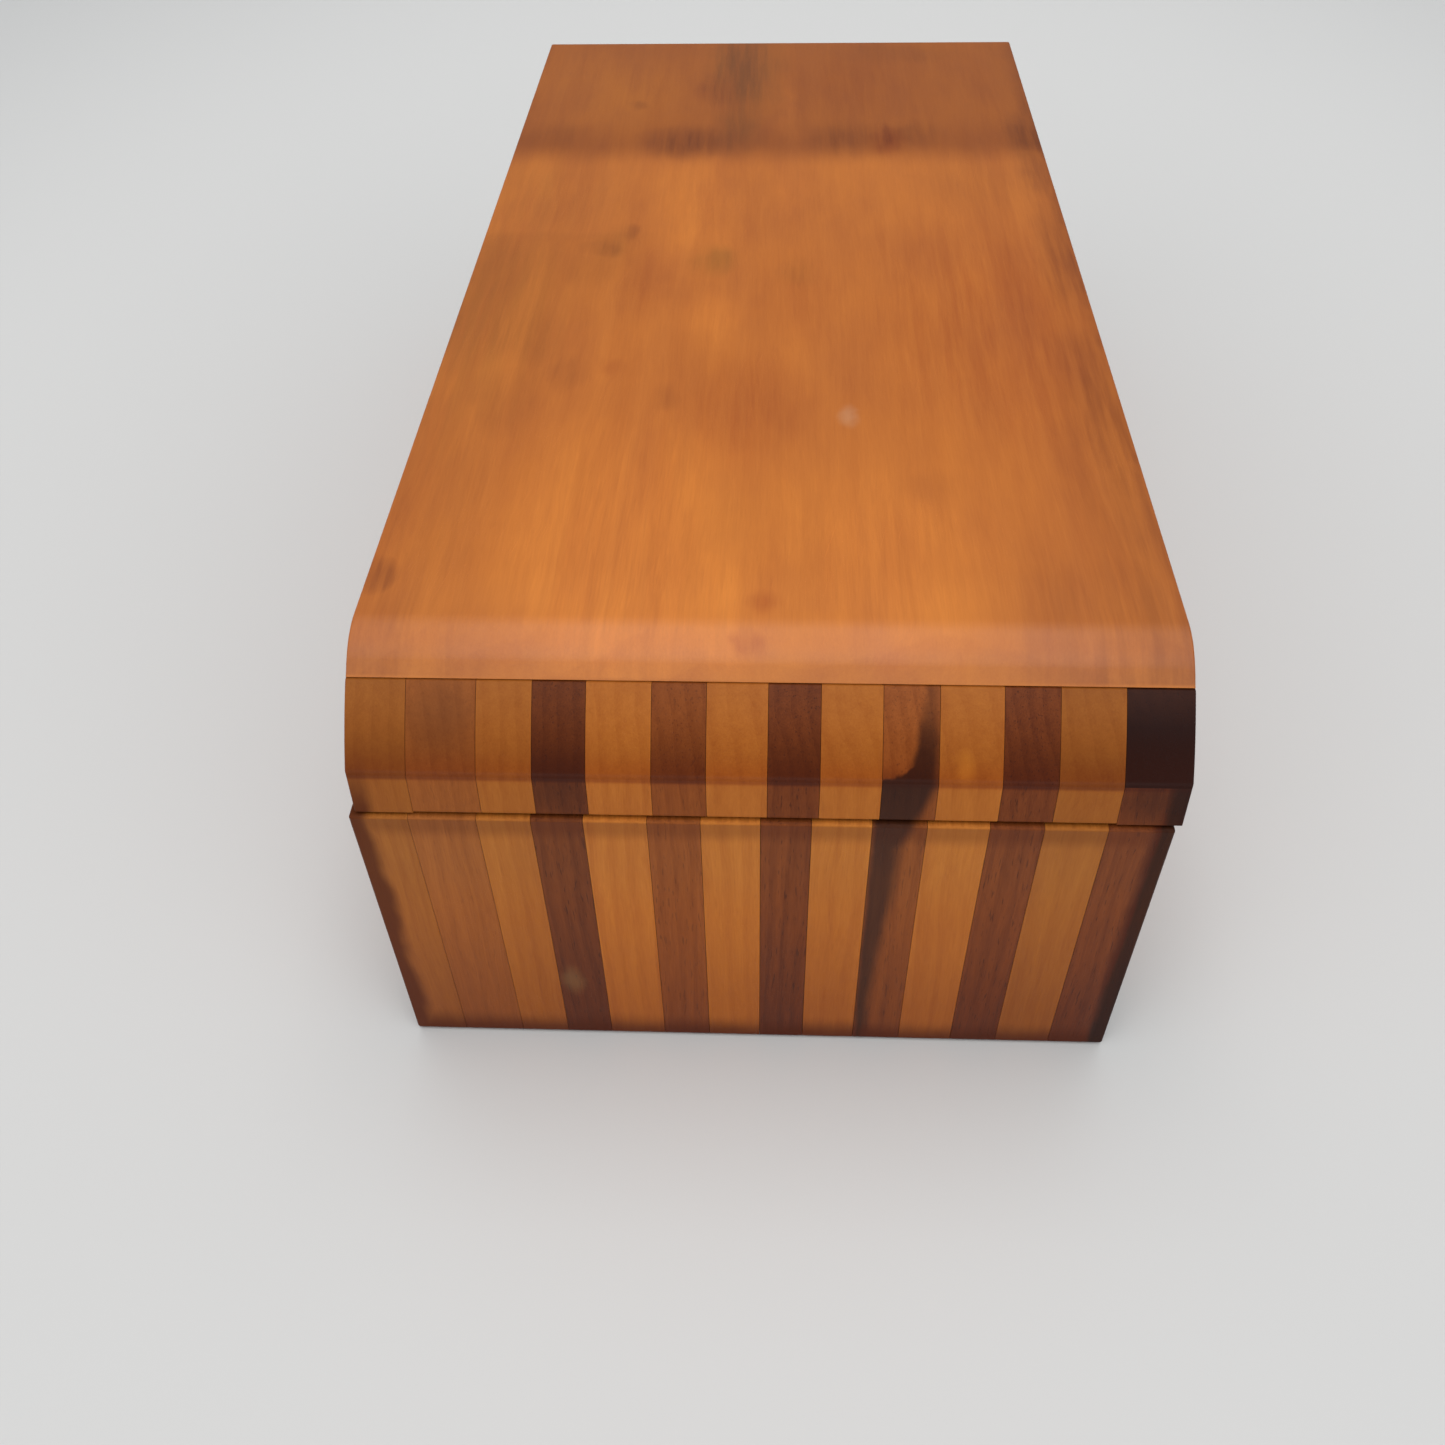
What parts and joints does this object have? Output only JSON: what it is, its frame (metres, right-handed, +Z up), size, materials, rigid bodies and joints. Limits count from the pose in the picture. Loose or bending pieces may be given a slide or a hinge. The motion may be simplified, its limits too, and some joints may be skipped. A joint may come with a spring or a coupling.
{
  "type": "wooden box with hinged lid",
  "caption": "Small oblong wooden box with a striped laminated front, a rounded front edge and a lid hinged at the far end.",
  "frame": {"origin": "centre of the body's footprint, on the surface that the box stands on", "axes": "+Z up, the striped front faces -Y, the hinges are at +Y, +X is to the right seen from the front"},
  "size_m": [0.0896, 0.1876, 0.0594],
  "materials": {
    "light_strip": "light amber wood under a satin varnish",
    "brown_strip": "pale brown wood under a satin varnish",
    "dark_strip": "dark brown wood under a satin varnish",
    "reddish_strip": "reddish brown wood under a satin varnish",
    "top_board": "amber wood under a satin varnish, darker at the far end",
    "wall": "amber brown wood under a satin varnish",
    "bottom_board": "plain wood",
    "brass": "dulled brass"
  },
  "bodies": {
    "body": {"body_front_strip_01": "light_strip", "body_front_strip_02": "brown_strip", "body_front_strip_03": "light_strip", "body_front_strip_04": "dark_strip", "body_front_strip_05": "light_strip", "body_front_strip_06": "reddish_strip", "body_front_strip_07": "light_strip", "body_front_strip_08": "dark_strip", "body_front_strip_09": "light_strip", "body_front_strip_10": "reddish_strip", "body_front_strip_11": "light_strip", "body_front_strip_12": "dark_strip", "body_front_strip_13": "light_strip", "body_front_strip_14": "dark_strip", "body_left_side": "wall", "body_right_side": "wall", "body_back_end": "wall", "body_bottom_board": "bottom_board", "left_hinge_body_leaf": "brass", "left_hinge_pin": "brass", "left_hinge_body_screw_1": "brass", "left_hinge_body_screw_2": "brass", "right_hinge_body_leaf": "brass", "right_hinge_pin": "brass", "right_hinge_body_screw_1": "brass", "right_hinge_body_screw_2": "brass"},
    "lid": {"lid_front_strip_01": "light_strip", "lid_front_strip_02": "brown_strip", "lid_front_strip_03": "light_strip", "lid_front_strip_04": "dark_strip", "lid_front_strip_05": "light_strip", "lid_front_strip_06": "reddish_strip", "lid_front_strip_07": "light_strip", "lid_front_strip_08": "dark_strip", "lid_front_strip_09": "light_strip", "lid_front_strip_10": "reddish_strip", "lid_front_strip_11": "light_strip", "lid_front_strip_12": "dark_strip", "lid_front_strip_13": "light_strip", "lid_front_strip_14": "dark_strip", "lid_top_board": "top_board", "lid_left_side": "wall", "lid_right_side": "wall", "lid_back_end": "wall", "left_hinge_lid_leaf": "brass", "left_hinge_lid_screw_1": "brass", "left_hinge_lid_screw_2": "brass", "right_hinge_lid_leaf": "brass", "right_hinge_lid_screw_1": "brass", "right_hinge_lid_screw_2": "brass"}
  },
  "joints": [
    {"name": "lid_hinge", "type": "hinge", "parent": "body", "child": "lid", "pos_m": [0, 0.09388, 0.04335], "axis": [-1, 0, 0], "range_deg": [0, 180]}
  ]
}
